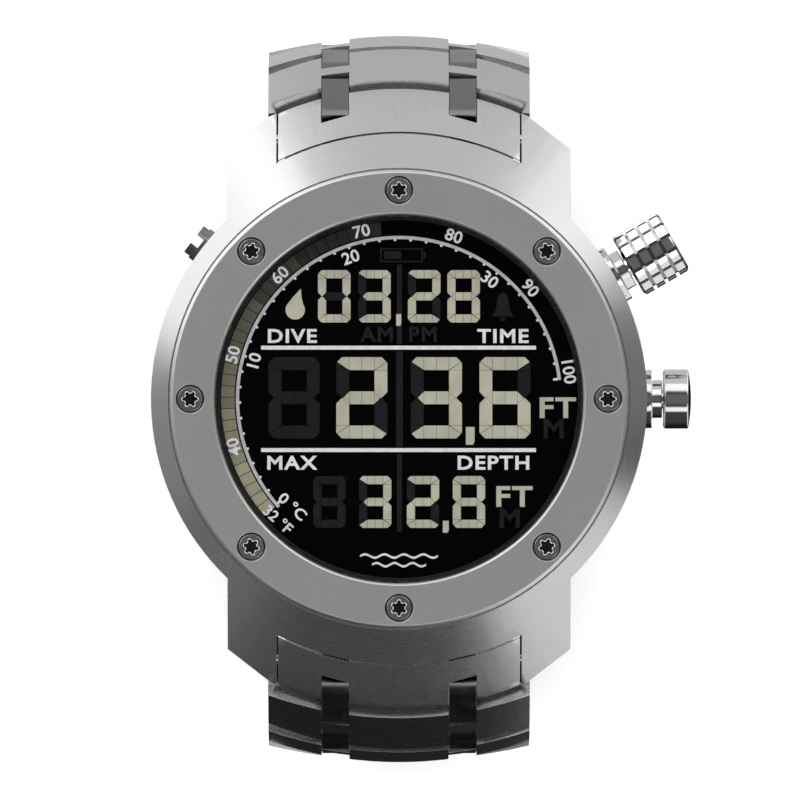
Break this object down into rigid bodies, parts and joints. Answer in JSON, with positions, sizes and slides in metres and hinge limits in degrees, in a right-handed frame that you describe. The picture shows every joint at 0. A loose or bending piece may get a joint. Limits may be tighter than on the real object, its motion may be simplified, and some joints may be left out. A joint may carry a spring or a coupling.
{
  "type": "wrist dive computer",
  "caption": "Round steel wrist dive computer with a digital display, side crown and push-button, on a hinged steel link bracelet with a folding clasp.",
  "frame": {"origin": "middle of the case back's outer face, where the instrument sits on the wrist", "axes": "+Z out of the display, +Y towards the 12 o'clock side of the bracelet, +X towards 3 o'clock and the push-button"},
  "size_m": [0.0501, 0.0678, 0.0545],
  "materials": {
    "brushed_steel": "satin brushed stainless steel",
    "polished_steel": "mirror polished stainless steel",
    "dark_steel": "polished darkened stainless steel",
    "crystal_glass": "clear flat mineral crystal",
    "display_black": "black reflective-free liquid crystal panel",
    "black_rubber": "black nitrile rubber",
    "dark_plastic": "glass-filled dark plastic",
    "board_green": "solder-masked circuit board",
    "light_film": "milky light guide film",
    "brass_disc": "plain brass"
  },
  "bodies": {
    "root": {"case_body": "brushed_steel", "bezel": "brushed_steel", "bezel_screws": "polished_steel", "crystal": "crystal_glass", "crystal_gasket": "black_rubber", "dial_ring": "dark_plastic", "display_panel": "display_black", "backlight": "light_film", "module_frame": "dark_plastic", "circuit_board": "board_green", "battery": "polished_steel", "buzzer": "brass_disc", "case_back": "brushed_steel", "case_back_gasket": "black_rubber", "case_back_screws": "polished_steel", "sensor_port_cap": "dark_steel", "pressure_sensor": "polished_steel", "crown_tube": "polished_steel", "button_tube": "polished_steel", "end_link_12": "brushed_steel", "end_link_6": "brushed_steel", "lug_pins": "polished_steel", "crown_spring": "polished_steel", "button_spring": "polished_steel"},
    "crown_carrier": {"crown_o_ring": "black_rubber"},
    "crown": {"crown_stem": "polished_steel", "crown_knob": "polished_steel"},
    "push_button": {"button_plunger": "polished_steel", "button_o_ring": "black_rubber"},
    "connector_12_1": {"connector_12_1": "dark_steel"},
    "link_12_1": {"link_12_1": "brushed_steel"},
    "connector_12_2": {"connector_12_2": "dark_steel"},
    "link_12_2": {"link_12_2": "brushed_steel"},
    "connector_12_3": {"connector_12_3": "dark_steel"},
    "link_12_3": {"link_12_3": "brushed_steel"},
    "connector_12_4": {"connector_12_4": "dark_steel"},
    "link_12_4": {"link_12_4": "brushed_steel"},
    "connector_12_5": {"connector_12_5": "dark_steel"},
    "link_12_5": {"link_12_5": "brushed_steel"},
    "connector_12_6": {"connector_12_6": "dark_steel"},
    "link_12_6": {"link_12_6": "brushed_steel"},
    "connector_6_1": {"connector_6_1": "dark_steel"},
    "link_6_1": {"link_6_1": "brushed_steel"},
    "connector_6_2": {"connector_6_2": "dark_steel"},
    "link_6_2": {"link_6_2": "brushed_steel"},
    "connector_6_3": {"connector_6_3": "dark_steel"},
    "link_6_3": {"link_6_3": "brushed_steel"},
    "connector_6_4": {"connector_6_4": "dark_steel"},
    "link_6_4": {"link_6_4": "brushed_steel"},
    "connector_6_5": {"connector_6_5": "dark_steel"},
    "link_6_5": {"link_6_5": "brushed_steel"},
    "connector_6_6": {"connector_6_6": "dark_steel"},
    "link_6_6": {"link_6_6": "brushed_steel"},
    "clasp_cover": {"clasp_cover": "brushed_steel", "cover_pins": "polished_steel"},
    "blade_upper": {"blade_upper": "polished_steel"},
    "blade_lower": {"blade_lower": "polished_steel", "blade_pins": "polished_steel"},
    "clasp_button_left": {"clasp_button_left": "polished_steel"},
    "clasp_button_right": {"clasp_button_right": "polished_steel"}
  },
  "joints": [
    {"name": "crown_push", "type": "slide", "parent": "root", "child": "crown_carrier", "axis": [-0.866, -0.5, 0], "range_m": [0, 0.0008], "stiffness_N_per_m": 600, "springref_m": -0.001, "deforming": ["crown_spring"]},
    {"name": "crown_turn", "type": "hinge", "parent": "crown_carrier", "child": "crown", "pos_m": [0.02078, 0.012, 0.0065], "axis": [0.866, 0.5, 0], "continuous": true},
    {"name": "button_push", "type": "slide", "parent": "root", "child": "push_button", "axis": [-1, 0, 0], "range_m": [0, 0.0008], "stiffness_N_per_m": 600, "springref_m": -0.001, "deforming": ["button_spring"]},
    {"name": "unroll_12", "type": "hinge", "parent": "root", "child": "connector_12_1", "pos_m": [0, 0.02573, 0.00645], "axis": [1, 0, 0], "range_deg": [0, 12]},
    {"name": "pin_12_2", "type": "hinge", "parent": "connector_12_1", "child": "link_12_1", "pos_m": [0, 0.02753, 0.00357], "axis": [1, 0, 0], "range_deg": [0, 8.01]},
    {"name": "pin_12_3", "type": "hinge", "parent": "link_12_1", "child": "connector_12_2", "pos_m": [0, 0.0294, -0.00064], "axis": [1, 0, 0], "range_deg": [0, 8.01]},
    {"name": "pin_12_4", "type": "hinge", "parent": "connector_12_2", "child": "link_12_2", "pos_m": [0, 0.03034, -0.0039], "axis": [1, 0, 0], "range_deg": [0, 8.01]},
    {"name": "pin_12_5", "type": "hinge", "parent": "link_12_2", "child": "connector_12_3", "pos_m": [0, 0.03098, -0.00846], "axis": [1, 0, 0], "range_deg": [0, 8.01]},
    {"name": "pin_12_6", "type": "hinge", "parent": "connector_12_3", "child": "link_12_3", "pos_m": [0, 0.03098, -0.01186], "axis": [1, 0, 0], "range_deg": [0, 8.01]},
    {"name": "unroll_12_outer", "type": "hinge", "parent": "link_12_3", "child": "connector_12_4", "pos_m": [0, 0.03034, -0.01641], "axis": [1, 0, 0], "range_deg": [0, 8]},
    {"name": "pin_12_8", "type": "hinge", "parent": "connector_12_4", "child": "link_12_4", "pos_m": [0, 0.0294, -0.01968], "axis": [1, 0, 0], "range_deg": [0, 8.01]},
    {"name": "pin_12_9", "type": "hinge", "parent": "link_12_4", "child": "connector_12_5", "pos_m": [0, 0.02753, -0.02388], "axis": [1, 0, 0], "range_deg": [0, 8.01]},
    {"name": "pin_12_10", "type": "hinge", "parent": "connector_12_5", "child": "link_12_5", "pos_m": [0, 0.02573, -0.02677], "axis": [1, 0, 0], "range_deg": [0, 8.01]},
    {"name": "pin_12_11", "type": "hinge", "parent": "link_12_5", "child": "connector_12_6", "pos_m": [0, 0.02277, -0.03029], "axis": [1, 0, 0], "range_deg": [0, 8.01]},
    {"name": "pin_12_12", "type": "hinge", "parent": "connector_12_6", "child": "link_12_6", "pos_m": [0, 0.02025, -0.03257], "axis": [1, 0, 0], "range_deg": [0, 8.01]},
    {"name": "unroll_6", "type": "hinge", "parent": "root", "child": "connector_6_1", "pos_m": [0, -0.02573, 0.00645], "axis": [-1, 0, 0], "range_deg": [0, 12]},
    {"name": "pin_6_2", "type": "hinge", "parent": "connector_6_1", "child": "link_6_1", "pos_m": [0, -0.02753, 0.00357], "axis": [-1, 0, 0], "range_deg": [0, 8.01]},
    {"name": "pin_6_3", "type": "hinge", "parent": "link_6_1", "child": "connector_6_2", "pos_m": [0, -0.0294, -0.00064], "axis": [-1, 0, 0], "range_deg": [0, 8.01]},
    {"name": "pin_6_4", "type": "hinge", "parent": "connector_6_2", "child": "link_6_2", "pos_m": [0, -0.03034, -0.0039], "axis": [-1, 0, 0], "range_deg": [0, 8.01]},
    {"name": "pin_6_5", "type": "hinge", "parent": "link_6_2", "child": "connector_6_3", "pos_m": [0, -0.03098, -0.00846], "axis": [-1, 0, 0], "range_deg": [0, 8.01]},
    {"name": "pin_6_6", "type": "hinge", "parent": "connector_6_3", "child": "link_6_3", "pos_m": [0, -0.03098, -0.01186], "axis": [-1, 0, 0], "range_deg": [0, 8.01]},
    {"name": "unroll_6_outer", "type": "hinge", "parent": "link_6_3", "child": "connector_6_4", "pos_m": [0, -0.03034, -0.01641], "axis": [-1, 0, 0], "range_deg": [0, 8]},
    {"name": "pin_6_8", "type": "hinge", "parent": "connector_6_4", "child": "link_6_4", "pos_m": [0, -0.0294, -0.01968], "axis": [-1, 0, 0], "range_deg": [0, 8.01]},
    {"name": "pin_6_9", "type": "hinge", "parent": "link_6_4", "child": "connector_6_5", "pos_m": [0, -0.02753, -0.02388], "axis": [-1, 0, 0], "range_deg": [0, 8.01]},
    {"name": "pin_6_10", "type": "hinge", "parent": "connector_6_5", "child": "link_6_5", "pos_m": [0, -0.02573, -0.02677], "axis": [-1, 0, 0], "range_deg": [0, 8.01]},
    {"name": "pin_6_11", "type": "hinge", "parent": "link_6_5", "child": "connector_6_6", "pos_m": [0, -0.02277, -0.03029], "axis": [-1, 0, 0], "range_deg": [0, 8.01]},
    {"name": "pin_6_12", "type": "hinge", "parent": "connector_6_6", "child": "link_6_6", "pos_m": [0, -0.02025, -0.03257], "axis": [-1, 0, 0], "range_deg": [0, 8.01]},
    {"name": "pin_12_13", "type": "hinge", "parent": "link_12_6", "child": "clasp_cover", "pos_m": [0, 0.01643, -0.03514], "axis": [1, 0, 0], "range_deg": [0, 8.01]},
    {"name": "clasp_open", "type": "hinge", "parent": "clasp_cover", "child": "blade_upper", "pos_m": [0, -0.01341, -0.03681], "axis": [1, 0, 0], "range_deg": [0, 55]},
    {"name": "blade_fold", "type": "hinge", "parent": "blade_upper", "child": "blade_lower", "pos_m": [0, 0.0107, -0.03637], "axis": [-1, 0, 0], "range_deg": [0, 75]},
    {"name": "clasp_push_left", "type": "slide", "parent": "clasp_cover", "child": "clasp_button_left", "axis": [1, 0, 0], "range_m": [0, 0.0006], "stiffness_N_per_m": 300, "springref_m": -0.0008},
    {"name": "clasp_push_right", "type": "slide", "parent": "clasp_cover", "child": "clasp_button_right", "axis": [-1, 0, 0], "range_m": [0, 0.0006], "stiffness_N_per_m": 300, "springref_m": -0.0008}
  ],
  "couplings": [
    {"joint": "pin_12_2", "follows": "unroll_12", "ratio": 0.6667},
    {"joint": "pin_12_3", "follows": "unroll_12", "ratio": 0.6667},
    {"joint": "pin_12_4", "follows": "unroll_12", "ratio": 0.6667},
    {"joint": "pin_12_5", "follows": "unroll_12", "ratio": 0.6667},
    {"joint": "pin_12_6", "follows": "unroll_12", "ratio": 0.6667},
    {"joint": "pin_12_8", "follows": "unroll_12_outer", "ratio": 1},
    {"joint": "pin_12_9", "follows": "unroll_12_outer", "ratio": 1},
    {"joint": "pin_12_10", "follows": "unroll_12_outer", "ratio": 1},
    {"joint": "pin_12_11", "follows": "unroll_12_outer", "ratio": 1},
    {"joint": "pin_12_12", "follows": "unroll_12_outer", "ratio": 1},
    {"joint": "pin_6_2", "follows": "unroll_6", "ratio": 0.6667},
    {"joint": "pin_6_3", "follows": "unroll_6", "ratio": 0.6667},
    {"joint": "pin_6_4", "follows": "unroll_6", "ratio": 0.6667},
    {"joint": "pin_6_5", "follows": "unroll_6", "ratio": 0.6667},
    {"joint": "pin_6_6", "follows": "unroll_6", "ratio": 0.6667},
    {"joint": "pin_6_8", "follows": "unroll_6_outer", "ratio": 1},
    {"joint": "pin_6_9", "follows": "unroll_6_outer", "ratio": 1},
    {"joint": "pin_6_10", "follows": "unroll_6_outer", "ratio": 1},
    {"joint": "pin_6_11", "follows": "unroll_6_outer", "ratio": 1},
    {"joint": "pin_6_12", "follows": "unroll_6_outer", "ratio": 1},
    {"joint": "pin_12_13", "follows": "unroll_12_outer", "ratio": 1}
  ]
}
